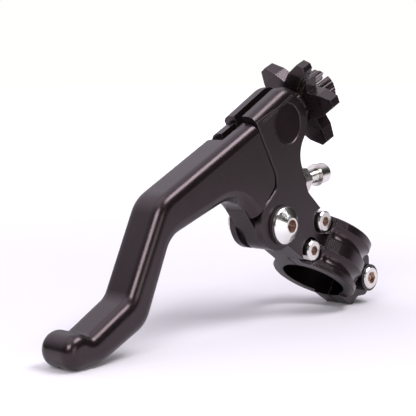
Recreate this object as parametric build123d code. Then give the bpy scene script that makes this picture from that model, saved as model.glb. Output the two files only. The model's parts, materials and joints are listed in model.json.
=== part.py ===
"""Motorcycle clutch lever and perch: lever blade, forked perch, ribbed handlebar clamp,
cable adjuster and reach screw.

Frame: origin at the centre of the handlebar bore, lever plane in XZ, pivot axis along Y,
lever tip toward -X, adjuster toward +Z, Z up. Millimetres.
"""
from build123d import *
import math
import os

os.makedirs("parts", exist_ok=True)

# ---- driving dimensions ------------------------------------------------------------------
BODY_T = 14.0            # thickness of blade and perch across Y
POCKET_T = 8.6           # gap between the two ears
TONGUE_T = 8.0           # lever tongue between the ears
SLOT_W = 3.6             # cable slot through lever and perch
EDGE_R = 3.6             # rounded long edges of the blade
PIVOT_X = -31.1
PIVOT_Z = 12.5
HUB_R = 8.6              # lever hub around the pivot
HUB_GAP = 0.8            # hub to pocket floor
EDGE_BREAK = 0.35        # small chamfer on crisp edges
RIM_BREAK = 0.5          # chamfer on the clamp's outer rims

BAR_R = 11.1             # 22.2 mm handlebar
CLAMP_W = 19.1           # clamp width along the bar
CLAMP_LOW = -10.75       # lower end of the clamp along the bar
CLAMP_WALL = 3.9
CLAMP_GAP = 0.5          # split between perch and cap
BAR_ANGLE = 57.4         # bar axis above +X in the lever plane

ADJ_ANGLE = 24.0         # cable axis above +X
CROSS_X = -28.9          # cross nut centre
CROSS_Z = 45.8
CROSS_R = 6.5
THREAD_R = 4.0           # adjuster thread
STAR_T = 5.4             # star wheel thickness
STAR_TIP_R = 16.3
STAR_LOBES = 6
HEAD_R = 6.9             # fluted adjuster head
HEAD_LEN = 11.0
WIRE_SLOT = 1.9          # slot along the adjuster that lets the inner wire in
CABLE_R = 2.55           # cable outer in its ferrule

REACH_R = 2.5            # reach screw shank
REACH_ANGLE = 8.4

PIVOT_SHANK_R = 4.0
PIVOT_HEAD_R = 6.15
CLAMP_SCREW_R = 2.0
CLAMP_SCREW_HEAD_R = 3.5
CLAMP_SCREW_PITCH = 11.2
CLAMP_SCREW_B = -15.0    # across the bar, flange side
LUG_SCREW_R = 2.5
LUG_SCREW_HEAD_R = 3.95
LUG_SCREW_B = 18.6       # across the bar, lug side

# ---- fits --------------------------------------------------------------------------------
RUN = 0.05               # running clearance on radius
PRESS = 0.01             # close fit on radius
THREAD_CLEAR = 0.05      # screw body to tapped hole, threads left out

HALF = BODY_T / 2
CLAMP_R = BAR_R + CLAMP_WALL
CLAMP_HIGH = CLAMP_LOW + CLAMP_W
CLAMP_MID = CLAMP_LOW + CLAMP_W / 2
BUSH_R = PIVOT_SHANK_R + 1.0
PIVOT = (PIVOT_X, PIVOT_Z)

# ---- frames ------------------------------------------------------------------------------
ca = math.cos(math.radians(BAR_ANGLE))
sa = math.sin(math.radians(BAR_ANGLE))
ALONG_BAR = (ca, 0, sa)
ACROSS_BAR = (sa, 0, -ca)
BAR = Plane(origin=(0, 0, 0), x_dir=ACROSS_BAR, z_dir=ALONG_BAR)      # local: across, Y, along
BAR_PLAN = Plane(origin=(0, 0, 0), x_dir=ACROSS_BAR, z_dir=(0, -1, 0))  # local: across, along

cu = math.cos(math.radians(ADJ_ANGLE))
su = math.sin(math.radians(ADJ_ANGLE))
ADJ = Plane(origin=(CROSS_X, 0, CROSS_Z), x_dir=(0, 1, 0), z_dir=(cu, 0, su))  # local: Y, up, out

cr = math.cos(math.radians(REACH_ANGLE))
sr = math.sin(math.radians(REACH_ANGLE))
REACH_HEAD = (-5.5, 27.2)
REACH = Plane(origin=(REACH_HEAD[0], 0, REACH_HEAD[1]), x_dir=(0, 1, 0), z_dir=(cr, 0, sr))


# ---- helpers -----------------------------------------------------------------------------
def rounded(points):
    """Closed face from (u, v, radius) corners in the XY plane, each corner rounded by its radius."""
    edges = []
    n = len(points)
    ends = []
    for i in range(n):
        px, py = points[i - 1][:2]
        cx, cy, r = points[i]
        nx, ny = points[(i + 1) % n][:2]
        l1 = math.hypot(px - cx, py - cy)
        l2 = math.hypot(nx - cx, ny - cy)
        d1 = ((px - cx) / l1, (py - cy) / l1)
        d2 = ((nx - cx) / l2, (ny - cy) / l2)
        if r <= 0:
            ends.append(((cx, cy), None, (cx, cy)))
            continue
        half = math.acos(max(-1, min(1, d1[0] * d2[0] + d1[1] * d2[1]))) / 2
        t = r / math.tan(half)
        bis = (d1[0] + d2[0], d1[1] + d2[1])
        bl = math.hypot(*bis)
        away = r / math.sin(half) - r
        mid = (cx + bis[0] / bl * away, cy + bis[1] / bl * away)
        ends.append(((cx + d1[0] * t, cy + d1[1] * t), mid, (cx + d2[0] * t, cy + d2[1] * t)))
    for i in range(n):
        start, mid, end = ends[i]
        if mid is not None:
            edges.append(ThreePointArc(start, mid, end))
        follow = ends[(i + 1) % n][0]
        if math.hypot(follow[0] - end[0], follow[1] - end[1]) > 1e-4:
            edges.append(Line(end, follow))
    return make_face(edges)


def plate(face, y0, y1):
    """Extrude an XY face drawn as (x, z) between two Y values."""
    return Pos(0, y1, 0) * extrude(Plane.XZ * face, amount=y1 - y0)


def plan(face, y0, y1):
    """Extrude an XY face drawn as (across bar, along bar) between two Y values."""
    return Pos(0, y1, 0) * extrude(BAR_PLAN * face, amount=y1 - y0)


def cyl_y(x, z, r, y0, y1):
    """Cylinder along Y."""
    return Pos(x, (y0 + y1) / 2, z) * Rot(90, 0, 0) * Cylinder(r, y1 - y0)


def cyl_on(frame, r, z0, z1, u=0.0, v=0.0):
    """Cylinder along a frame's Z."""
    return frame * Pos(u, v, (z0 + z1) / 2) * Cylinder(r, z1 - z0)


def hex_on(frame, flats, z0, z1):
    """Hexagonal prism along a frame's Z, measured across flats."""
    return frame * Pos(0, 0, z0) * extrude(RegularPolygon(flats / 2, 6, major_radius=False), amount=z1 - z0)


def front_frame(x, z, y):
    """Frame whose Z points out of the front face, toward -Y."""
    return Plane(origin=(x, y, z), x_dir=(1, 0, 0), z_dir=(0, -1, 0))


def bar_point(across, along):
    """XZ position of a point given across and along the bar."""
    return (sa * across + ca * along, -ca * across + sa * along)


def turned(frame, profile):
    """Solid of revolution about a frame's Z from (radius, z) points."""
    face = make_face(Polyline(*[(r, 0, z) for r, z in profile], close=True))
    return frame * revolve(face, axis=Axis.Z)


def export(shape, name):
    shape.label = name
    export_step(shape, f"parts/{name}.step")


# ---- lever -------------------------------------------------------------------------------
CHEEK_TOP = (-44.9, 46.37)       # upper end of the parting line, on the blade's flat top
FLAT_ANGLE = 27.54               # slope of the root segment's flat top
KNOB = (-118.6, -16.3)
KNOB_R = 5.4
ANCHOR = (-49.5, 36.6)           # cable anchor in the blade root
ANCHOR_R = 3.95
ANCHOR_LEN = 10.4
NOTCH_DEPTH = 2.0                # cable entry notch from the rear edge
NOTCH_LEN = 4.0
STRIKE = (-25.1, 24.31)          # where the reach screw meets the tongue
STRIKE_R = 2.6
STRIKE_T = 3.8
PAD_LEN = 2.4


def flat_point(along, above):
    """Point measured from the start of the cable slot, along and above the root's flat top."""
    a = math.radians(FLAT_ANGLE)
    d = (math.cos(a), math.sin(a))
    return (-55.45 + d[0] * along - d[1] * above, 40.87 + d[1] * along + d[0] * above)


def knob_tangent(point):
    """Lower tangent point on the knob for a line from an outside point."""
    dx, dz = point[0] - KNOB[0], point[1] - KNOB[1]
    a = math.atan2(dz, dx) - math.acos(KNOB_R / math.hypot(dx, dz))
    return (KNOB[0] + KNOB_R * math.cos(a), KNOB[1] + KNOB_R * math.sin(a))


def lever():
    under_tip = (-109.9, -20.8)
    valley = (-115.0, -12.57)
    blade = rounded([
        (*CHEEK_TOP, 0.0),
        (-86.7, 24.5, 12),
        (-99.7, -3.7, 6),
        (*valley, 0.0),
        (*KNOB, 0.0),
        (*knob_tangent(under_tip), 0.0),
        (*under_tip, 8),
        (-92.3, -12.3, 10),
        (-81.8, 12.8, 9),
        (-52.6, 23.7, 12),
        (-43.6, 15.3, 0.0),
        (-34.9, 25.7, 3.0),
        (-35.2, 29.5, 2.0),
    ])
    blade = blade + Pos(*KNOB) * Circle(KNOB_R)
    corner = blade.vertices().sort_by_distance(Vertex(valley[0] - 0.5, valley[1] + 0.3, 0))[0]
    blade = fillet(corner, 2.0)
    body = plate(blade, -HALF, HALF)
    # long edges rounded on both faces, the parting edges stay crisp
    parting = make_face(Polyline(
        (-46.5, 47.2), (-44.3, 46.9), (-33.0, 29.5), (-33.0, 25.0), (-43.0, 15.2), (-44.6, 16.2),
        (-37.0, 25.7), (-37.0, 29.0), close=True,
    ))
    zone = plate(parting, -HALF - 1, HALF + 1)
    edges = [
        e for e in body.edges()
        if abs(abs(e.center().Y) - HALF) < 1e-4 and not zone.is_inside(e @ 0.5)
    ]
    body = fillet(edges, EDGE_R)
    crisp = [e for e in body.edges() if abs(abs(e.center().Y) - HALF) < 1e-4 and zone.is_inside(e @ 0.5)]
    body = chamfer(crisp, EDGE_BREAK * 0.7)
    hub = Pos(*PIVOT) * Circle(HUB_R)
    # the tongue's underside runs straight on from the blade's scoop to the hub
    arm = rounded([
        (-50.0, 24.5, 0.5), (-42.5, 34.0, 0.5), (-36.5, 30.9, 0.5), (-25.1, 30.9, 2.5),
        (-25.1, 14.0, 0.5), (-31.1, 7.0, 0.5), (-37.6, 6.9, 0.5), (-46.6, 17.6, 1.0),
    ])
    body = body + plate(arm + hub, -TONGUE_T / 2, TONGUE_T / 2)
    # cable slot, open at the top and toward the perch
    slot = make_face(Polyline(
        flat_point(0.5, 4), flat_point(0.5, -8.2), (-46.0, 36.3), (-33.0, 42.2), (-36.0, 52.0),
        close=True,
    ))
    body = body - plate(slot, -SLOT_W / 2, SLOT_W / 2)
    notch = make_face(Polyline(
        flat_point(0.5, 4), flat_point(0.5, -NOTCH_DEPTH), flat_point(0.5 + NOTCH_LEN, -NOTCH_DEPTH),
        flat_point(0.5 + NOTCH_LEN, 4), close=True,
    ))
    body = body - plate(notch, 0, HALF + 1)
    body = body - cyl_y(*ANCHOR, ANCHOR_R + RUN, HALF - 1.8 - ANCHOR_LEN, HALF + 1)
    body = body - cyl_y(*PIVOT, BUSH_R, -HALF, HALF)
    strike_axis = REACH * Pos(0, 0, -strike_distance())
    body = body - strike_axis * Pos(0, 0, -STRIKE_T / 2) * Cylinder(STRIKE_R + PRESS, STRIKE_T)
    body = body - strike_axis * Pos(0, 0, 1.5) * Cylinder(3.3, 3.0)
    # small drilled dimple under the knob
    return body - cyl_on(Plane(origin=(KNOB[0] - 2.6, 0, KNOB[1] - 4.9), z_dir=(0.47, 0, 0.88)), 0.9, -2, 0.6)


def strike_distance():
    """Distance along the reach axis from the head seat back to the tongue face."""
    return (REACH_HEAD[0] - STRIKE[0]) / cr


def strike_plate():
    return REACH * Pos(0, 0, -strike_distance() - STRIKE_T / 2) * Cylinder(STRIKE_R, STRIKE_T)


def cable_anchor():
    """Barrel that holds the cable nipple, slotted for the wire."""
    y1 = HALF - 1.8
    body = cyl_y(*ANCHOR, ANCHOR_R, y1 - ANCHOR_LEN + 0.1, y1)
    axis = Plane(origin=(ANCHOR[0], 0, ANCHOR[1]), x_dir=(0, 1, 0), z_dir=(cu, 0, su))
    wire = axis * Pos(0, 0, 5) * Box(2.0, 2.0, 10)
    upper = axis * Pos(0, 5, 0) * Box(2.0, 10, 12)
    pocket = cyl_y(*ANCHOR, 2.2, -2.6, 2.6)
    return body - wire - upper - pocket


# ---- perch -------------------------------------------------------------------------------
EAR_END = (-32.8, 13.5)          # rounded end of the ears
EAR_END_R = 9.3
TUBE_R = 3.4                     # rounding along the cable tube
CAP_SEAT_B = -11.4               # where the cap meets the perch between the flange screws
FLANGE_LOBE_R = 4.3
LUG_T = 5.5
FLANGE_TOP = 4.5                 # cap flange face, measured from the split plane
REACH_WALL = -15.8               # outer face of the reach screw boss
TUBE_START = (-45.6, 48.4)       # parting end of the tube's top line
TUBE_FINISH = (-24.3, 60.8)
TUBE_LINES = (3.5, 4.15)         # fine engraved lines below the rounding, from the top line
CROSS_CLEAR = 0.12
CROSS_RIM = 0.45                 # chamfer round the cross nut's hole


def screw_spots():
    """Across and along positions of the two flange screws."""
    return [(CLAMP_SCREW_B, -0.75 + s * CLAMP_SCREW_PITCH / 2) for s in (-1, 1)]


def lug_outline():
    """Wavy outer lug seen in plan, as (across, along) corners."""
    return rounded([
        (8.0, CLAMP_LOW - 0.9, 0.3), (18.8, CLAMP_LOW - 0.5, 1.0), (20.2, -7.0, 2.0), (24.4, -4.4, 3.0),
        (24.4, 4.4, 3.0), (20.6, 4.8, 1.2), (18.2, CLAMP_HIGH - 0.3, 1.5), (8.0, CLAMP_HIGH, 0.3),
    ])


def cap_plan(grow=0.0):
    """Plan outline of the cap's flange side, with a lobe around each screw."""
    past_low, past_high = CLAMP_LOW - 1, CLAMP_HIGH + 1
    face = make_face(Polyline(
        (CAP_SEAT_B - grow, past_low), (30, past_low), (30, past_high), (CAP_SEAT_B - grow, past_high),
        close=True,
    ))
    for b, a in screw_spots():
        face = face + Pos(b, a) * Circle(FLANGE_LOBE_R + grow)
    # the flange runs on to both end faces beside the screws
    lo = screw_spots()[0][1]
    hi = screw_spots()[1][1]
    edge = CLAMP_SCREW_B - 1.6 - grow
    for start, end in ((past_low, lo), (hi, past_high)):
        face = face + make_face(Polyline((edge, start), (0, start), (0, end), (edge, end), close=True))
    return face


def open_edge(point):
    """True for an edge of the perch plate that isn't covered by its tube, ear end or clamp."""
    across, along = sa * point.X - ca * point.Z, ca * point.X + sa * point.Z
    from_end = math.hypot(point.X - EAR_END[0], point.Z - EAR_END[1])
    return point.Z < 49 and across < -16 and along > CLAMP_LOW + 0.3 and from_end > EAR_END_R - 0.1


def tube_line(below, y):
    """Cutter for a fine line along the tube on one face."""
    dx, dz = TUBE_FINISH[0] - TUBE_START[0], TUBE_FINISH[1] - TUBE_START[1]
    length = math.hypot(dx, dz)
    dx, dz = dx / length, dz / length
    x, z = TUBE_START[0] + dx * 12.0 + dz * below, TUBE_START[1] + dz * 12.0 - dx * below
    return Pos(x, y, z) * Rot(0, -math.degrees(math.atan2(dz, dx)), 0) * Box(19.0, 0.4, 0.2)


def perch():
    end_lo = bar_point(-26.7, CLAMP_LOW)
    tube_end = (CROSS_X + cu * 10.3 - su * 3.0, CROSS_Z + su * 10.3 + cu * 3.0)
    outline = rounded([
        (-44.45, 46.5, 0.0),
        (-31.0, 52.9, 0.0),
        (*tube_end, 0.0),
        (-17.2, 45.4, 7.5),
        (-22.7, 36.0, 9.0),
        (-17.4, 22.6, 5.0),
        (*bar_point(-16.7, CLAMP_HIGH - 0.1), 0.5),
        (*bar_point(-9.0, CLAMP_HIGH), 0.5),
        (*bar_point(-9.0, CLAMP_LOW), 0.0),
        (*end_lo, 0.0),
        (*EAR_END, 0.0),
        (-40.6, 18.6, 0.0),
        (-33.7, 25.3, 3.0),
        (-34.45, 29.6, 2.0),
    ])
    body = plate(outline, -HALF, HALF)
    face_edges = [e for e in body.edges() if abs(abs(e.center().Y) - HALF) < 1e-4]
    body = chamfer([e for e in face_edges if open_edge(e.center())], EDGE_BREAK)
    # half-round tube along the top, with its rounding run out at the adjuster end
    tube = plate(rounded([
        (*TUBE_START, 0.0), (*TUBE_FINISH, 7.5), (*tube_end, 0.0), (-30.0, 45.0, 0.0), (-40.0, 43.0, 0.0),
        (-44.45, 46.5, 0.0),
    ]), -HALF, HALF)
    top_edges = [
        e for e in tube.edges()
        if abs(abs(e.center().Y) - HALF) < 1e-4 and e.center().X > -42
        and (e.center().Z - CROSS_Z) * cu - (e.center().X - CROSS_X) * su > 5.0
    ]
    body = body + fillet(top_edges, TUBE_R)
    end = cyl_y(*EAR_END, EAR_END_R, -HALF, HALF)
    body = body + chamfer(end.edges().filter_by(GeomType.CIRCLE), EDGE_BREAK)
    # rear half of the clamp and its lug
    ring = chamfer(cyl_on(BAR, CLAMP_R, CLAMP_LOW, CLAMP_HIGH).edges().filter_by(GeomType.CIRCLE), RIM_BREAK)
    rear = BAR * Pos(0, CLAMP_R, CLAMP_MID) * Box(2 * CLAMP_R + 2, 2 * CLAMP_R - CLAMP_GAP, CLAMP_W + 2)
    body = body + (ring & rear)
    body = body + plan(lug_outline(), CLAMP_GAP / 2, LUG_T)
    body = body + cyl_on(REACH, 4.6, -22.0 / cr, (REACH_WALL - REACH_HEAD[0]) / cr)
    # room for the cap
    body = body - plan(cap_plan(0.3), -HALF - 4, CLAMP_GAP / 2)
    body = body - cyl_on(BAR, BAR_R, -CLAMP_W, CLAMP_W)
    # pocket for the lever tongue
    pocket = rounded([
        (-60, 0, 0), (-31.1, 2.4, 0), (-22.4, 8.0, 3.0), (-22.4, 32.4, 2.0), (-60, 32.4, 0),
    ]) + Pos(*PIVOT) * Circle(HUB_R + HUB_GAP)
    body = body - plate(pocket, -POCKET_T / 2, POCKET_T / 2)
    # cable slot down to the cable axis, and the adjuster bore
    body = body - ADJ * Pos(0, 10, 0) * Box(SLOT_W, 20, 60)
    body = body - cyl_on(ADJ, SLOT_W / 2, -30, 0)
    body = body - cyl_on(ADJ, THREAD_R + 0.3, 0, 14)
    body = body - cyl_y(CROSS_X, CROSS_Z, CROSS_R + CROSS_CLEAR, -HALF - 1, HALF + 1)
    for face in (-1, 1):
        rim = Plane(origin=(CROSS_X, face * HALF, CROSS_Z), x_dir=(1, 0, 0), z_dir=(0, face, 0))
        body = body - turned(rim, [
            (0, -CROSS_RIM), (CROSS_R, -CROSS_RIM), (CROSS_R + CROSS_RIM + 0.1, 0.1), (0, 0.1),
        ])
        for below in TUBE_LINES:
            body = body - tube_line(below, face * HALF)
    body = body - cyl_y(*PIVOT, PIVOT_SHANK_R + RUN, -HALF - 1, HALF + 1)
    body = body - cyl_on(REACH, REACH_R + THREAD_CLEAR, -30, 0)
    for b, a in screw_spots():
        body = body - cyl_y(*bar_point(b, a), CLAMP_SCREW_R + THREAD_CLEAR, 0, 6.2)
    body = body - cyl_y(*bar_point(LUG_SCREW_B, 0), LUG_SCREW_R + THREAD_CLEAR, 0, LUG_T + 1)
    return body


# ---- clamp cap ---------------------------------------------------------------------------
SCALLOP_R = 3.2
SCALLOP_OFFSET = 1.9             # cutter centre outside the clamp surface
SCALLOP_SPACING = 9.0
SCALLOP_MID = -1.5
SCALLOP_FROM = 229               # start and end angles round the bar
SCALLOP_TO = 318
LINE_GROOVES = 3                 # deep grooves beside the flange, by angle round the bar
LINE_FROM = 211.5
LINE_STEP = 3.6
LINE_W = 0.5
LINE_DEPTH = 0.6
TICK_GROOVES = 7                 # fine grooves across the ribs
TICK_FROM = 222.5
TICK_STEP = 2.5
TICK_W = 0.28
TICK_DEPTH = 0.3


def clamp_cap():
    ring = chamfer(cyl_on(BAR, CLAMP_R, CLAMP_LOW, CLAMP_HIGH).edges().filter_by(GeomType.CIRCLE), RIM_BREAK)
    front = BAR * Pos(0, -CLAMP_R, CLAMP_MID) * Box(2 * CLAMP_R + 2, 2 * CLAMP_R - CLAMP_GAP, CLAMP_W + 2)
    body = (ring & front) & plan(cap_plan(0.0), -2 * CLAMP_R, 0)
    width = BAR * Pos(0, 0, CLAMP_MID) * Box(80, 80, CLAMP_W)
    flange = plan(cap_plan(0.0), -FLANGE_TOP, -CLAMP_GAP / 2) & width
    flange = flange - BAR * Pos(20, 0, 0) * Box(40, 40, 60)
    body = body + flange
    body = body + plan(lug_outline(), -LUG_T, -CLAMP_GAP / 2)
    # screw head pockets
    for b, a in screw_spots():
        x, z = bar_point(b, a)
        body = body - cyl_y(x, z, CLAMP_SCREW_HEAD_R + 0.35, -20, -FLANGE_TOP)
        body = body - cyl_y(x, z, CLAMP_SCREW_R + 0.2, -20, 0)
    x, z = bar_point(LUG_SCREW_B, 0)
    body = body - cyl_y(x, z, LUG_COLLAR_R + 0.15, -20, -LUG_T)
    body = body - cyl_y(x, z, LUG_SCREW_R + 0.3, -20, 0)
    # two scallops running round the outside, deep grooves along the bar and fine grooves on the ribs
    for s in (-1, 1):
        body = body - scallop(SCALLOP_MID + s * SCALLOP_SPACING / 2)
    for i in range(LINE_GROOVES):
        body = body - groove(LINE_FROM + i * LINE_STEP, LINE_W, LINE_DEPTH, CLAMP_MID, CLAMP_W + 2)
    for along, length in rib_spans():
        for i in range(TICK_GROOVES):
            body = body - groove(TICK_FROM + i * TICK_STEP, TICK_W, TICK_DEPTH, along, length)
    return body - cyl_on(BAR, BAR_R, -CLAMP_W, CLAMP_W)


def groove(angle, width, depth, along, length):
    """Cutter for a groove along the bar at an angle round it."""
    return BAR * Rot(0, 0, angle) * Pos(CLAMP_R, 0, along) * Box(2 * depth, width, length)


def rib_spans():
    """Middle and length along the bar of the three ribs left by the two scallops."""
    half = math.sqrt(SCALLOP_R ** 2 - SCALLOP_OFFSET ** 2)
    low, high = SCALLOP_MID - SCALLOP_SPACING / 2, SCALLOP_MID + SCALLOP_SPACING / 2
    ends = [(CLAMP_LOW + 1.0, low - half), (low + half, high - half), (high + half, CLAMP_HIGH - 0.6)]
    return [((a + b) / 2, b - a) for a, b in ends]


def scallop(along):
    major = CLAMP_R + SCALLOP_OFFSET
    sweep = SCALLOP_TO - SCALLOP_FROM
    face = Plane.XZ * Pos(major, 0) * Circle(SCALLOP_R)
    tool = Rot(0, 0, SCALLOP_FROM) * revolve(face, axis=Axis.Z, revolution_arc=sweep)
    for a in (SCALLOP_FROM, SCALLOP_TO):
        t = math.radians(a)
        tool = tool + Pos(major * math.cos(t), major * math.sin(t), 0) * Sphere(SCALLOP_R)
    return BAR * Pos(0, 0, along) * tool


# ---- pivot -------------------------------------------------------------------------------
PIVOT_WASHER_T = 1.0
NUT_FLATS = 10.0
NUT_T = 5.0
NUT_R = 3.0                      # threaded end of the pivot bolt
THRUST_R = 7.4


def pivot_bolt():
    frame = front_frame(*PIVOT, 0)
    y = HALF + PIVOT_WASHER_T
    body = turned(frame, [
        (0, -HALF - PIVOT_WASHER_T - NUT_T - 1.0), (NUT_R - 0.4, -HALF - PIVOT_WASHER_T - NUT_T - 1.0),
        (NUT_R, -HALF - PIVOT_WASHER_T - NUT_T - 0.6), (NUT_R, -HALF + 0.1), (PIVOT_SHANK_R, -HALF + 0.1),
        (PIVOT_SHANK_R, y), (PIVOT_HEAD_R, y), (PIVOT_HEAD_R, y + 0.55), (PIVOT_HEAD_R - 0.25, y + 0.8),
        (3.05, y + 2.8), (2.75, y + 2.95), (0, y + 2.95),
    ])
    return body - hex_on(frame, 4.0, y + 0.4, y + 4)


def pivot_nut():
    frame = front_frame(*PIVOT, 0)
    z0 = -HALF - PIVOT_WASHER_T - NUT_T
    body = hex_on(frame, NUT_FLATS, z0 + 1.0, z0 + NUT_T) + cyl_on(frame, NUT_FLATS / 2 - 0.4, z0, z0 + 1.2)
    return body - cyl_on(frame, NUT_R + RUN, z0 - 1, z0 + NUT_T + 1)


def ring_y(r_out, r_in, y0, y1, x=PIVOT_X, z=PIVOT_Z):
    return cyl_y(x, z, r_out, y0, y1) - cyl_y(x, z, r_in, y0 - 1, y1 + 1)


def thrust_washers():
    t = (POCKET_T - TONGUE_T) / 2 - 0.1
    y = TONGUE_T / 2 + 0.05
    return Compound([ring_y(THRUST_R, BUSH_R + 0.1, s, s + t) for s in (y, -y - t)])


# ---- clamp screws ------------------------------------------------------------------------
def cap_screw(x, z, seat, r, length, head_r, head_h, socket):
    """Socket head cap screw pointing toward +Y from its seat."""
    frame = front_frame(x, z, seat)
    body = turned(frame, [
        (0, -length), (r - 0.3, -length), (r, -length + 0.4), (r, 0), (head_r, 0),
        (head_r, head_h - 0.35), (head_r - 0.35, head_h), (0, head_h),
    ])
    return body - hex_on(frame, socket, head_h - head_h * 0.55, head_h + 1)


LUG_COLLAR_R = 4.75
LUG_COLLAR_T = 3.4
LUG_COLLAR_FLOOR = 0.9


def lug_collar():
    """Deep cup washer under and around the lug screw's head."""
    x, z = bar_point(LUG_SCREW_B, 0)
    y1 = -LUG_T
    body = cyl_y(x, z, LUG_COLLAR_R, y1 - LUG_COLLAR_T, y1)
    body = body - cyl_y(x, z, LUG_SCREW_HEAD_R + 0.1, y1 - LUG_COLLAR_T - 1, y1 - LUG_COLLAR_FLOOR)
    return body - cyl_y(x, z, LUG_SCREW_R + 0.1, y1 - 5, y1 + 1)


# ---- adjuster ----------------------------------------------------------------------------
LOCK_NUT_Z = 10.5
LOCK_NUT_T = 1.7
LOCK_NUT_R = 6.8
STAR_Z = 12.4                    # near face of the star wheel along the cable axis
HEAD_Z = STAR_Z + STAR_T
HEAD_END = HEAD_Z + HEAD_LEN
SEAT_Z = 16.0                    # bottom of the cable seat
SLOT_TURN = 128.0                # direction of the barrel's cable slot
STAR_PHASE = 56.0
STAR_HUB_R = 5.0
FLUTES = 20
PIN_R = 1.0
VALLEY_R = 9.4
SHOULDER_R = 12.6
TIP_HALF = 4.6                   # half angle of a petal's flat tip
BEVEL_R = 12.4                   # where the faces start to slope
TIP_BEVEL = 0.8


def cross_nut():
    body = cyl_y(CROSS_X, CROSS_Z, CROSS_R, -HALF + 0.1, HALF - 0.1)
    body = body - cyl_on(ADJ, THREAD_R + THREAD_CLEAR, -10, 10)
    return body - ADJ * Pos(0, 5, 0) * Box(SLOT_W, 10, 20)


def lock_nut():
    z1 = LOCK_NUT_Z + LOCK_NUT_T
    body = turned(ADJ, [
        (THREAD_R + THREAD_CLEAR, LOCK_NUT_Z), (LOCK_NUT_R - 0.4, LOCK_NUT_Z), (LOCK_NUT_R, LOCK_NUT_Z + 0.4),
        (LOCK_NUT_R, z1 - 0.4), (LOCK_NUT_R - 0.4, z1), (THREAD_R + THREAD_CLEAR, z1),
    ])
    for i in range(8):
        body = body - ADJ * Rot(0, 0, i * 45) * Pos(LOCK_NUT_R + 0.4, 0, LOCK_NUT_Z) * Cylinder(1.0, 8)
    return body


def star_wheel():
    """Star wheel with faceted petals and bevelled faces."""
    step = 360 / STAR_LOBES
    corners = (
        (-30, VALLEY_R), (-17, SHOULDER_R), (-TIP_HALF, STAR_TIP_R), (TIP_HALF, STAR_TIP_R), (17, SHOULDER_R),
    )
    points = []
    for i in range(STAR_LOBES):
        for turn, r in corners:
            t = math.radians(STAR_PHASE + i * step + turn)
            points.append((r * math.cos(t), r * math.sin(t)))
    body = extrude(make_face(Polyline(*points, close=True)), amount=STAR_T)
    # both faces slope back toward the tips
    edge = STAR_TIP_R + 1
    body = body & revolve(make_face(Polyline(
        (0, 0, -0.01), (BEVEL_R, 0, -0.01), (edge, 0, TIP_BEVEL), (edge, 0, STAR_T - TIP_BEVEL),
        (BEVEL_R, 0, STAR_T + 0.01), (0, 0, STAR_T + 0.01), close=True,
    )), axis=Axis.Z)
    body = ADJ * Pos(0, 0, STAR_Z) * body
    body = body - cyl_on(ADJ, STAR_HUB_R + PRESS, STAR_Z - 1, STAR_Z + STAR_T + 1)
    body = body - ADJ * Rot(0, 0, SLOT_TURN) * Pos(10, 0, STAR_Z) * Box(20, WIRE_SLOT, 20)
    return body - star_pin_hole(PIN_R + PRESS)


def star_pin_hole(r):
    """Radial pin through the wheel's hub, opposite the cable slot."""
    z = STAR_Z + STAR_T / 2
    pin = ADJ * Pos(0, 0, z) * Rot(0, 0, SLOT_TURN + 180) * Pos(5.8, 0, 0) * Rot(0, 90, 0) * Cylinder(r, 4.4)
    return pin


def adjuster_barrel():
    body = turned(ADJ, [
        (1.6, -5.0), (THREAD_R - 0.6, -5.0), (THREAD_R, -4.4), (THREAD_R, STAR_Z - 0.1),
        (STAR_HUB_R, STAR_Z - 0.1), (STAR_HUB_R, HEAD_Z + 0.05), (HEAD_R - 0.4, HEAD_Z + 0.05),
        (HEAD_R, HEAD_Z + 0.5), (HEAD_R, HEAD_END - 0.7), (HEAD_R - 0.7, HEAD_END),
        (CABLE_R + 0.55, HEAD_END), (CABLE_R + 0.55, SEAT_Z), (1.6, SEAT_Z),
    ])
    for i in range(FLUTES):
        a = SLOT_TURN + (i + 0.5) * 360 / FLUTES
        body = body - ADJ * Rot(0, 0, a) * Pos(HEAD_R + 0.3, 0, HEAD_Z + 6.8) * Cylinder(0.8, 12)
    body = body - ADJ * Rot(0, 0, SLOT_TURN) * Pos(10, 0, 10) * Box(20, WIRE_SLOT, 60)
    return body - star_pin_hole(PIN_R + PRESS)


def cable_ferrule():
    """Sleeve in the adjuster's end that takes the cable outer, split to pass the wire."""
    body = turned(ADJ, [
        (1.3, SEAT_Z + 0.1), (CABLE_R + 0.5, SEAT_Z + 0.1), (CABLE_R + 0.5, HEAD_END + 0.1),
        (3.9, HEAD_END + 0.1), (3.9, HEAD_END + 0.9), (CABLE_R, HEAD_END + 0.9),
        (CABLE_R, SEAT_Z + 1.1), (1.3, SEAT_Z + 1.1),
    ])
    return body - ADJ * Rot(0, 0, SLOT_TURN) * Pos(10, 0, SEAT_Z + 5) * Box(20, WIRE_SLOT - 0.2, 30)


# ---- reach adjuster ----------------------------------------------------------------------
REACH_HEAD_H = 5.2
REACH_NUT_T = 4.0
REACH_PITCH = 0.8
REACH_RIDGES = 7                 # thread rings on the bare stretch under the head


def reach_screw():
    tip = strike_distance() - PAD_LEN - 0.1
    thread = []
    for i in range(REACH_RIDGES):
        z = -0.6 - i * REACH_PITCH
        thread = [(REACH_R - 0.35, z - REACH_PITCH / 2), (REACH_R, z - 0.1), (REACH_R, z + 0.1)] + thread
    body = turned(REACH, [
        (0, -tip), (REACH_R - 0.5, -tip), (REACH_R, -tip + 0.6), (REACH_R, thread[0][1] - 0.3), *thread,
        (REACH_R - 0.35, -0.2), (REACH_R - 0.35, 0), (3.85, 0), (3.85, 0.8),
        (3.5, 1.0), (3.5, REACH_HEAD_H - 0.4), (3.1, REACH_HEAD_H), (0, REACH_HEAD_H),
    ])
    return body - hex_on(REACH, 4.0, REACH_HEAD_H - 2.8, REACH_HEAD_H + 1)


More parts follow.
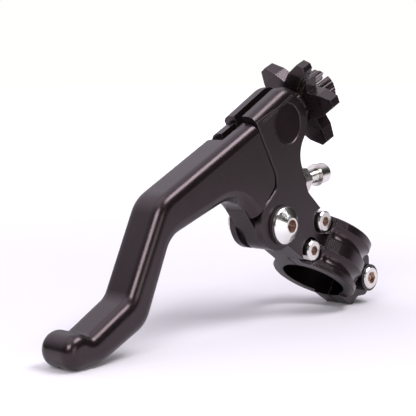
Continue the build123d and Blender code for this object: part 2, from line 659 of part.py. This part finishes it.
def reach_pad():
    d = strike_distance()
    return turned(REACH, [
        (0, -d + 0.05), (1.8, -d + 0.05), (2.3, -d + 0.5), (2.3, -d + PAD_LEN), (0, -d + PAD_LEN),
    ])


def reach_nut():
    z0 = (REACH_WALL - REACH_HEAD[0]) / cr + 0.05
    body = hex_on(REACH, 8.0, z0, z0 + REACH_NUT_T)
    z1 = z0 + REACH_NUT_T
    corners = turned(REACH, [
        (0, z0), (4.1, z0), (4.7, z0 + 0.4), (4.7, z1 - 0.4), (4.1, z1), (0, z1),
    ])
    return (body & corners) - cyl_on(REACH, REACH_R + THREAD_CLEAR, z0 - 1, z1 + 1)


# ---- build -------------------------------------------------------------------------------
lug_x, lug_z = bar_point(LUG_SCREW_B, 0)
parts = {
    "lever": lever(),
    "strike_plate": strike_plate(),
    "cable_anchor": cable_anchor(),
    "perch": perch(),
    "clamp_cap": clamp_cap(),
    "pivot_bolt": pivot_bolt(),
    "pivot_washer": ring_y(PIVOT_HEAD_R + 0.35, PIVOT_SHANK_R + RUN, -HALF - PIVOT_WASHER_T, -HALF),
    "rear_washer": ring_y(6.0, NUT_R + 0.2, HALF, HALF + PIVOT_WASHER_T),
    "pivot_nut": pivot_nut(),
    "pivot_bush": ring_y(BUSH_R - PRESS, PIVOT_SHANK_R + RUN, -TONGUE_T / 2, TONGUE_T / 2),
    "thrust_washers": thrust_washers(),
    "clamp_screws": Compound([
        cap_screw(*bar_point(b, a), -FLANGE_TOP, CLAMP_SCREW_R, 9.5, CLAMP_SCREW_HEAD_R, 4.0, 3.0)
        for b, a in screw_spots()
    ]),
    "lug_screw": cap_screw(
        lug_x, lug_z, -LUG_T - LUG_COLLAR_FLOOR, LUG_SCREW_R, 11.4, LUG_SCREW_HEAD_R, 3.2, 4.0,
    ),
    "lug_collar": lug_collar(),
    "cross_nut": cross_nut(),
    "lock_nut": lock_nut(),
    "adjuster_barrel": adjuster_barrel(),
    "star_wheel": star_wheel(),
    "star_pin": star_pin_hole(PIN_R),
    "cable_ferrule": cable_ferrule(),
    "reach_screw": reach_screw(),
    "reach_pad": reach_pad(),
    "reach_nut": reach_nut(),
}
for name, shape in parts.items():
    solids = shape.solids()
    volume = round(sum(s.volume for s in solids), 1)
    print(name, "solids", len(solids), "volume", volume, "valid", shape.is_valid)
    export(shape, name)
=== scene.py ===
"""Looks of the clutch lever: anodised aluminium, bright steel, white paper and soft studio light. Metres."""
import json
import math

import bpy
from mathutils import Matrix, Vector


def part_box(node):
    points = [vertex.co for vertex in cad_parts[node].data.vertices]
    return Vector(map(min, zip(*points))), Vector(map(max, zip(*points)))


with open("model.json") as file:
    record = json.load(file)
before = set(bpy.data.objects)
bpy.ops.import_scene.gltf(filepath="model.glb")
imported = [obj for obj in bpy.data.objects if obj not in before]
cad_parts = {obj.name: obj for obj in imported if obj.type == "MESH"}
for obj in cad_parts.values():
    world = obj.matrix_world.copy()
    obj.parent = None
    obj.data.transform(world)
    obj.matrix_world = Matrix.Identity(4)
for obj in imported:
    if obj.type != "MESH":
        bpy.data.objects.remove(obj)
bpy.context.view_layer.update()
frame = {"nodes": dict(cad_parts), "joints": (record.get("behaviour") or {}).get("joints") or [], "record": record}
NODES = frame["nodes"]

# ---- axes of the object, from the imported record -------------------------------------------
JOINTS = {j["name"]: j for j in frame["joints"]}
MOUNTS = {m["name"]: m for m in frame["record"]["mounts"]}
BAR_DIR = Vector(MOUNTS["handlebar_clamp"]["axis"])
ADJ_AT, ADJ_DIR = Vector(JOINTS["adjuster_spin"]["pos_m"]), Vector(JOINTS["adjuster_spin"]["axis"])
REACH_AT, REACH_DIR = Vector(JOINTS["reach_spin"]["pos_m"]), Vector(JOINTS["reach_spin"]["axis"])
PIVOT_AT, ACROSS = Vector(JOINTS["lever_pull"]["pos_m"]), Vector((0, -1, 0))


def look_from(azimuth, elevation):
    """Direction from the object. Azimuth 0 is in front of it, toward -Y, and 90 toward +X."""
    a, e = math.radians(azimuth), math.radians(elevation)
    return Vector((math.sin(a) * math.cos(e), -math.cos(a) * math.cos(e), math.sin(e)))


def centre(node):
    low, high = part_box(node)
    return (low + high) / 2


# ---- node building ------------------------------------------------------------------------
class Shader:
    """A material with its Principled shader, and short ways to add nodes to it."""

    def __init__(self, name, colour, metallic, roughness, specular=0.5, tint=(1, 1, 1)):
        self.material = bpy.data.materials.new(name)
        self.material.use_nodes = True
        self.tree = self.material.node_tree
        self.bsdf = self.tree.nodes["Principled BSDF"]
        self.bsdf.inputs["Base Color"].default_value = (*colour, 1)
        self.bsdf.inputs["Metallic"].default_value = metallic
        self.bsdf.inputs["Roughness"].default_value = roughness
        self.bsdf.inputs["Specular IOR Level"].default_value = specular
        self.bsdf.inputs["Specular Tint"].default_value = (*tint, 1)
        self.place = self.node("ShaderNodeTexCoord").outputs["Object"]

    def node(self, kind, **values):
        made = self.tree.nodes.new(kind)
        for key, value in values.items():
            if hasattr(made, key):
                setattr(made, key, value)
            else:
                made.inputs[key.replace("_", " ")].default_value = value
        return made

    def link(self, start, end):
        self.tree.links.new(start, end)

    def noise(self, scale, detail=3.0, roughness=0.5, vector=None):
        made = self.node("ShaderNodeTexNoise", Scale=scale, Detail=detail, Roughness=roughness)
        self.link(vector or self.place, made.inputs["Vector"])
        return made.outputs["Fac"]

    def stretched(self, amounts, turn=0.0):
        """Object coordinates scaled per axis, for grain that runs one way."""
        made = self.node("ShaderNodeMapping")
        made.inputs["Scale"].default_value = amounts
        made.inputs["Rotation"].default_value = (0, turn, 0)
        self.link(self.place, made.inputs["Vector"])
        return made.outputs["Vector"]

    def radius(self, at, along):
        """Distance from an axis."""
        away = self.node("ShaderNodeVectorMath", operation="SUBTRACT")
        self.link(self.place, away.inputs[0])
        away.inputs[1].default_value = at
        cross = self.node("ShaderNodeVectorMath", operation="CROSS_PRODUCT")
        self.link(away.outputs[0], cross.inputs[0])
        cross.inputs[1].default_value = along
        length = self.node("ShaderNodeVectorMath", operation="LENGTH")
        self.link(cross.outputs[0], length.inputs[0])
        return length.outputs["Value"]

    def wave(self, value, pitch):
        """Sine of a distance, one period per pitch."""
        scaled = self.math("MULTIPLY", value, 2 * math.pi / pitch)
        return self.math("SINE", scaled)

    def math(self, operation, a, b=None, c=None):
        made = self.node("ShaderNodeMath", operation=operation)
        for socket, value in zip(made.inputs, (a, b, c)):
            if value is None:
                continue
            if isinstance(value, (int, float)):
                socket.default_value = value
            else:
                self.link(value, socket)
        return made.outputs[0]

    def ramp(self, value, low, high, to_low, to_high):
        made = self.node("ShaderNodeMapRange")
        self.link(value, made.inputs["Value"])
        for key, number in (("From Min", low), ("From Max", high), ("To Min", to_low), ("To Max", to_high)):
            made.inputs[key].default_value = number
        return made.outputs["Result"]

    def mix(self, value, colour_a, colour_b):
        made = self.node("ShaderNodeMix", data_type="RGBA")
        self.link(value, made.inputs["Factor"])
        for socket, colour in ((made.inputs[6], colour_a), (made.inputs[7], colour_b)):
            if isinstance(colour, tuple):
                socket.default_value = (*colour, 1)
            else:
                self.link(colour, socket)
        return made.outputs[2]

    def edges(self, size):
        """Mask that is 1 along sharp edges, from how far a bevelled normal turns away from the true one."""
        bevel = self.node("ShaderNodeBevel", samples=8)
        bevel.inputs["Radius"].default_value = size
        true = self.node("ShaderNodeNewGeometry")
        facing = self.node("ShaderNodeVectorMath", operation="DOT_PRODUCT")
        self.link(bevel.outputs["Normal"], facing.inputs[0])
        self.link(true.outputs["Normal"], facing.inputs[1])
        return self.ramp(facing.outputs["Value"], 0.80, 0.97, 1.0, 0.0)

    def bump(self, height, distance, strength=1.0, normal=None):
        made = self.node("ShaderNodeBump", Strength=strength, Distance=distance)
        self.link(height, made.inputs["Height"])
        if normal is not None:
            self.link(normal, made.inputs["Normal"])
        return made.outputs["Normal"]

    def set(self, name, value):
        self.link(value, self.bsdf.inputs[name])


# dark and light tone of each black dye, linear RGB
DYES = ((0.0058, 0.0034, 0.0038), (0.0085, 0.0054, 0.0060))
PLUG_DYES = ((0.0085, 0.0050, 0.0056), (0.0120, 0.0075, 0.0082))
COLLAR_DYES = ((0.004, 0.0035, 0.004), (0.007, 0.006, 0.007))
WASHER_DYES = ((0.020, 0.017, 0.017), (0.032, 0.028, 0.028))
SHEEN = 0.55                        # specular level of the dyed skin
PLUG_SHEEN = 0.08
SHEEN_TINT = (1.0, 0.80, 0.85)
BLAST = 0.00002                     # depth of the blasted skin
ROUGH_SPREAD = 0.035
EDGE_HIGHLIGHT_TONE = (0.32, 0.29, 0.30)      # painted highlight: lighter tone along sharp edges
EDGE_SIZE = 0.00013
EDGE_METAL = 0.6
# painted shade inside the bar bore: near-black tone and little sheen
BORE_SHADE_TONE = (0.002, 0.0014, 0.0014)
BORE_EDGE = 0.0002
BORE_SHEEN = 0.06
SOCKET_SHADE_TONE = (0.52, 0.40, 0.34)    # painted shade: darker, browner steel tone inside a hexagon socket
SOCKET_EDGE = 0.00025
STAIN = 0.88                        # how much darker handled steel is
STEEL_RIPPLE = 0.000006
TURNED_RIPPLE = 0.000004


def anodised(name, roughness, dyes=DYES, grain_turn=None, rings=None, sheen=SHEEN, bore=None):
    """Dyed anodised aluminium: a fine blasted skin, cloudy dye, rubbed patches, a painted highlight along sharp
    edges, painted shade inside the bar bore and, where milled, cutter marks.
    """
    dark, light = dyes
    s = Shader(name, dark, 0.0, roughness, sheen, SHEEN_TINT)
    cloud = s.noise(90, 4.0, 0.6)
    fleck = s.noise(2600, 2.0, 0.6)
    tone = s.math("MULTIPLY_ADD", fleck, 0.35, s.math("MULTIPLY", cloud, 0.65))
    colour = s.mix(s.ramp(tone, 0.35, 0.65, 0.0, 1.0), dark, light)
    if bore is not None:
        where, axis, size = bore
        # painted shade: near-black colour and low specular level inside the bar bore
        recess_shade = s.ramp(s.radius(where, axis), size, size + BORE_EDGE, 1.0, 0.0)
        colour = s.mix(recess_shade, colour, BORE_SHADE_TONE)
        s.set("Specular IOR Level", s.ramp(recess_shade, 0.0, 1.0, sheen, BORE_SHEEN))
    # painted highlight along sharp edges: lighter and partly metallic, in patches
    patchy = s.ramp(s.noise(420, 3.0, 0.6), 0.35, 0.6, 0.75, 1.0)
    edge_highlight = s.math("MULTIPLY", s.edges(EDGE_SIZE), patchy)
    s.set("Base Color", s.mix(edge_highlight, colour, EDGE_HIGHLIGHT_TONE))
    s.set("Metallic", s.math("MULTIPLY", edge_highlight, EDGE_METAL))
    rubbed = s.noise(160, 5.0, 0.65)
    rough = s.ramp(rubbed, 0.3, 0.7, roughness - ROUGH_SPREAD, roughness + ROUGH_SPREAD)
    s.set("Roughness", rough)
    normal = s.bump(s.noise(5200, 2.0, 0.5), BLAST, 0.35)
    if grain_turn is not None:
        milled = s.noise(1.0, 2.0, 0.5, s.stretched((6500, 6500, 120), grain_turn))
        normal = s.bump(milled, 0.6 * BLAST, 0.3, normal)
    if rings is not None:
        at, along, pitch = rings
        normal = s.bump(s.wave(s.radius(at, along), pitch), 0.5 * BLAST, 0.35, normal)
    s.set("Normal", normal)
    return s.material


def steel(name, colour, roughness, at=None, along=None, pitch=0.00016, sockets=()):
    """Bright turned or plated steel, with faint turning rings about its axis, handling marks and painted shade
    inside its sockets.
    """
    s = Shader(name, colour, 1.0, roughness)
    marks = s.noise(700, 5.0, 0.6)
    s.set("Roughness", s.ramp(marks, 0.3, 0.7, roughness - 0.05, roughness + 0.06))
    stain = s.noise(240, 3.0, 0.5)
    tone = s.mix(s.ramp(stain, 0.35, 0.7, 0.0, 1.0), colour, tuple(c * STAIN for c in colour))
    for where, axis, size in sockets:
        # painted shade inside each socket
        recess_shade = s.ramp(s.radius(where, axis), size, size + SOCKET_EDGE, 1.0, 0.0)
        tone = s.mix(recess_shade, tone, SOCKET_SHADE_TONE)
    s.set("Base Color", tone)
    normal = s.bump(s.noise(3000, 2.0, 0.5), STEEL_RIPPLE, 0.4)
    if at is not None:
        normal = s.bump(s.wave(s.radius(at, along), pitch), TURNED_RIPPLE, 0.5, normal)
    s.set("Normal", normal)
    return s.material


def moulded(name, colour, roughness):
    """Pale moulded nylon."""
    s = Shader(name, colour, 0.0, roughness)
    cloud = s.noise(300, 4.0, 0.6)
    s.set("Base Color", s.mix(s.ramp(cloud, 0.3, 0.7, 0.0, 1.0), colour, tuple(c * 0.86 for c in colour)))
    s.set("Roughness", s.ramp(s.noise(900), 0.3, 0.7, roughness - 0.05, roughness + 0.08))
    s.set("Normal", s.bump(s.noise(1800), 0.00001, 0.4))
    return s.material


# ---- materials ----------------------------------------------------------------------------
STEEL = (0.80, 0.77, 0.74)
POLISHED = (0.95, 0.94, 0.92)
NUT_STEEL = (0.66, 0.62, 0.60)
HARD_STEEL = (0.50, 0.50, 0.51)
BRONZE = (0.62, 0.42, 0.20)
# painted shade: the ferrule inside the barrel gets a dark bronze tone
SHADED_BRONZE = (0.10, 0.075, 0.055)
NYLON = (0.62, 0.59, 0.52)
SCREW_HALF_PITCH = 0.0056
BAR_BORE = ((0, 0, 0), BAR_DIR, 0.01125)


def middle(node):
    return tuple(centre(node))


ADJ_AXIS = (ADJ_AT, ADJ_DIR)
REACH_AXIS = (REACH_AT, REACH_DIR)
PIVOT_AXIS = (PIVOT_AT, ACROSS)
LUG_AXIS = (middle("lug_screw"), ACROSS)
# a point on each socket's axis, the axis and its half width
SCREW_SOCKETS = [
    (centre("clamp_screws") + BAR_DIR * side * SCREW_HALF_PITCH, ACROSS, 0.0015) for side in (-1, 1)
]
ADJ_RINGS = (*ADJ_AXIS, 0.0003)

LOOKS = {
    "lever": anodised("blade_black", 0.25, grain_turn=0.0),
    "perch": anodised("perch_black", 0.32, grain_turn=0.5, bore=BAR_BORE),
    "clamp_cap": anodised("cap_black", 0.25, grain_turn=1.0, bore=BAR_BORE),
    "star_wheel": anodised("star_black", 0.28, rings=ADJ_RINGS),
    "adjuster_barrel": anodised("barrel_black", 0.28, rings=ADJ_RINGS),
    "lock_nut": anodised("nut_black", 0.36, rings=ADJ_RINGS),
    "cross_nut": anodised(
        "plug_black", 0.30, PLUG_DYES, rings=(middle("cross_nut"), ACROSS, 0.00045), sheen=PLUG_SHEEN
    ),
    "lug_collar": anodised("collar_black", 0.28, COLLAR_DYES, rings=(middle("lug_collar"), ACROSS, 0.0003)),
    "pivot_washer": anodised("washer_black", 0.32, WASHER_DYES, rings=(*PIVOT_AXIS, 0.0002)),
    "pivot_bolt": steel("pivot_steel", POLISHED, 0.19, *PIVOT_AXIS, sockets=[(*PIVOT_AXIS, 0.0021)]),
    "rear_washer": steel("washer_zinc", STEEL, 0.28, *PIVOT_AXIS),
    "pivot_nut": steel("nut_zinc", STEEL, 0.28, *PIVOT_AXIS),
    "clamp_screws": steel("screw_zinc", STEEL, 0.22, sockets=SCREW_SOCKETS),
    "lug_screw": steel("lug_zinc", STEEL, 0.22, *LUG_AXIS, sockets=[(*LUG_AXIS, 0.002)]),
    "reach_screw": steel("reach_zinc", STEEL, 0.22, *REACH_AXIS, sockets=[(*REACH_AXIS, 0.002)]),
    "reach_nut": steel("reach_nut_zinc", NUT_STEEL, 0.27, *REACH_AXIS),
    "reach_pad": steel("pad_steel", HARD_STEEL, 0.30, *REACH_AXIS),
    "strike_plate": steel("strike_steel", HARD_STEEL, 0.30, *REACH_AXIS),
    "star_pin": steel("pin_steel", HARD_STEEL, 0.30),
    "pivot_bush": steel("bush_bronze", BRONZE, 0.34, *PIVOT_AXIS),
    "cable_anchor": steel("anchor_bronze", BRONZE, 0.34, middle("cable_anchor"), ACROSS),
    "cable_ferrule": steel("ferrule_bronze", SHADED_BRONZE, 0.38, *ADJ_AXIS),
    "thrust_washers": moulded("nylon", NYLON, 0.42),
}
for node, material in LOOKS.items():
    NODES[node].data.materials.clear()
    NODES[node].data.materials.append(material)

# ---- floor --------------------------------------------------------------------------------
FLOOR_REACH = 4.0
GLOW_NEAR, GLOW_FAR = 0.04, 0.90      # painted light: the paper glows by itself, more so away from the object
GLOW_FROM, GLOW_TO = 0.05, 1.0
SHADE_SIDE = (0.42, -0.97, 0.0)       # the paper greys a little to the right of the camera
SHADE_FROM, SHADE_TO = 0.12, 0.4
PAPER_PALE, PAPER_DARK = (0.615, 0.60, 0.63), (0.60, 0.585, 0.615)
SHADE_TONE = (0.26, 0.25, 0.25)
SHADE_GLOW = 0.3
REST_FROM = 0.03                      # how far from the knob the second point of rest may lie


def rest_plane():
    """Lowest point of the object, and the rise of the plane that also touches it further along X."""
    points = [node.matrix_world @ v.co for node in NODES.values() for v in node.data.vertices]
    foot = min(points, key=lambda v: v.z)
    rise = min((v.z - foot.z) / (v.x - foot.x) for v in points if v.x > foot.x + REST_FROM)
    return foot, rise


def floor():
    """White paper under the object, which rests on its knob and its clamp."""
    foot, rise = rest_plane()
    corners = [(i * FLOOR_REACH, j * FLOOR_REACH) for i, j in ((-1, -1), (1, -1), (1, 1), (-1, 1))]
    points = [(x, y, foot.z + rise * (x - foot.x)) for x, y in corners]
    mesh = bpy.data.meshes.new("paper")
    mesh.from_pydata(points, [], [(0, 1, 2, 3)])
    paper = bpy.data.objects.new("paper", mesh)
    bpy.context.scene.collection.objects.link(paper)
    s = Shader("paper", PAPER_PALE, 0.0, 0.9, 0.1)
    along = s.node("ShaderNodeVectorMath", operation="DOT_PRODUCT")
    s.link(s.place, along.inputs[0])
    along.inputs[1].default_value = SHADE_SIDE
    shade = s.ramp(along.outputs["Value"], SHADE_FROM, SHADE_TO, 0.0, 1.0)
    s.set("Base Color", s.mix(shade, s.mix(s.noise(9), PAPER_PALE, PAPER_DARK), SHADE_TONE))
    # painted light: the paper's own glow, weaker on its shaded side
    s.bsdf.inputs["Emission Color"].default_value = (1.0, 0.99, 1.0, 1)
    distance = s.node("ShaderNodeVectorMath", operation="LENGTH")
    s.link(s.place, distance.inputs[0])
    glow = s.ramp(distance.outputs["Value"], GLOW_FROM, GLOW_TO, GLOW_NEAR, GLOW_FAR)
    s.set("Emission Strength", s.math("MULTIPLY", glow, s.ramp(shade, 0.0, 1.0, 1.0, SHADE_GLOW)))
    mesh.materials.append(s.material)


floor()

# ---- light --------------------------------------------------------------------------------
STUDIO_DARK = (0.03, 0.027, 0.027)
SPREAD_FROM, SPREAD_TO = 0.45, 0.9       # how close to the bright side the world is dark and bright
SEEN_WHITE = (1, 1, 0.985)
STUDIO_BRIGHT = (1.15, 1.10, 1.22)
BRIGHT_SIDE = Vector((0.05, 0.50, 0.90)).normalized()


def studio():
    """Pale above and behind the left of the object, dim to the right of the camera, white to the camera."""
    world = bpy.data.worlds.new("studio")
    bpy.context.scene.world = world
    world.use_nodes = True
    tree = world.node_tree
    place = tree.nodes.new("ShaderNodeTexCoord")
    facing = tree.nodes.new("ShaderNodeVectorMath")
    facing.operation = "DOT_PRODUCT"
    facing.inputs[1].default_value = BRIGHT_SIDE
    tree.links.new(place.outputs["Generated"], facing.inputs[0])
    spread = tree.nodes.new("ShaderNodeMapRange")
    spread.inputs["From Min"].default_value = SPREAD_FROM
    spread.inputs["From Max"].default_value = SPREAD_TO
    tree.links.new(facing.outputs["Value"], spread.inputs["Value"])
    shade = tree.nodes.new("ShaderNodeMix")
    shade.data_type = "RGBA"
    shade.inputs[6].default_value = (*STUDIO_DARK, 1)
    shade.inputs[7].default_value = (*STUDIO_BRIGHT, 1)
    tree.links.new(spread.outputs["Result"], shade.inputs["Factor"])
    path = tree.nodes.new("ShaderNodeLightPath")
    seen = tree.nodes.new("ShaderNodeMix")
    seen.data_type = "RGBA"
    seen.inputs[7].default_value = (*SEEN_WHITE, 1)
    tree.links.new(path.outputs["Is Camera Ray"], seen.inputs["Factor"])
    tree.links.new(shade.outputs[2], seen.inputs[6])
    tree.links.new(seen.outputs[2], tree.nodes["Background"].inputs["Color"])


studio()

TARGET = Vector((-0.045, 0, 0.02))      # about the middle of the object
LAVENDER, COOL, WARM = (0.97, 0.96, 1.0), (0.98, 0.96, 1.0), (1.0, 0.99, 0.98)


def softbox(name, azimuth, elevation, distance, size, power, colour):
    """Rectangular lamp aimed at the object."""
    away = look_from(azimuth, elevation)
    lamp = bpy.data.lights.new(name, "AREA")
    lamp.shape = "RECTANGLE"
    lamp.size, lamp.size_y = size
    lamp.energy = power
    lamp.color = colour
    made = bpy.data.objects.new(name, lamp)
    made.location = TARGET + away * distance
    made.rotation_mode = "QUATERNION"
    made.rotation_quaternion = (-away).to_track_quat("-Z", "Y")
    bpy.context.scene.collection.objects.link(made)


softbox("top_box", -100, 70, 1.1, (0.9, 0.7), 1.5, LAVENDER)
softbox("key_box", -64, 33, 1.2, (0.5, 0.4), 7.5, COOL)
softbox("high_box", 22, 60, 1.2, (0.9, 0.45), 13, COOL)
softbox("front_card", -12, 6, 1.1, (0.5, 0.5), 1.8, WARM)

# ---- camera -------------------------------------------------------------------------------
CAMERA_AT = Vector((-0.34727, -0.26559, 0.05927))
CAMERA_AZ = -47.27
CAMERA_EL = 5.75
LENS_MM, SENSOR_MM = 108.1, 36.0

back = look_from(CAMERA_AZ, CAMERA_EL)
right = Vector((-back.y, back.x, 0)).normalized()
up = back.cross(right)
lens = bpy.data.cameras.new("photo_view")
lens.lens = LENS_MM
lens.sensor_width = SENSOR_MM
lens.clip_start, lens.clip_end = 0.01, 20.0
camera = bpy.data.objects.new("photo_view", lens)
camera.matrix_world = Matrix.Translation(CAMERA_AT) @ Matrix((right, up, back)).transposed().to_4x4()
bpy.context.scene.collection.objects.link(camera)
bpy.context.scene.camera = camera

view = bpy.context.scene.view_settings
view.view_transform = "Standard"
view.look = "None"
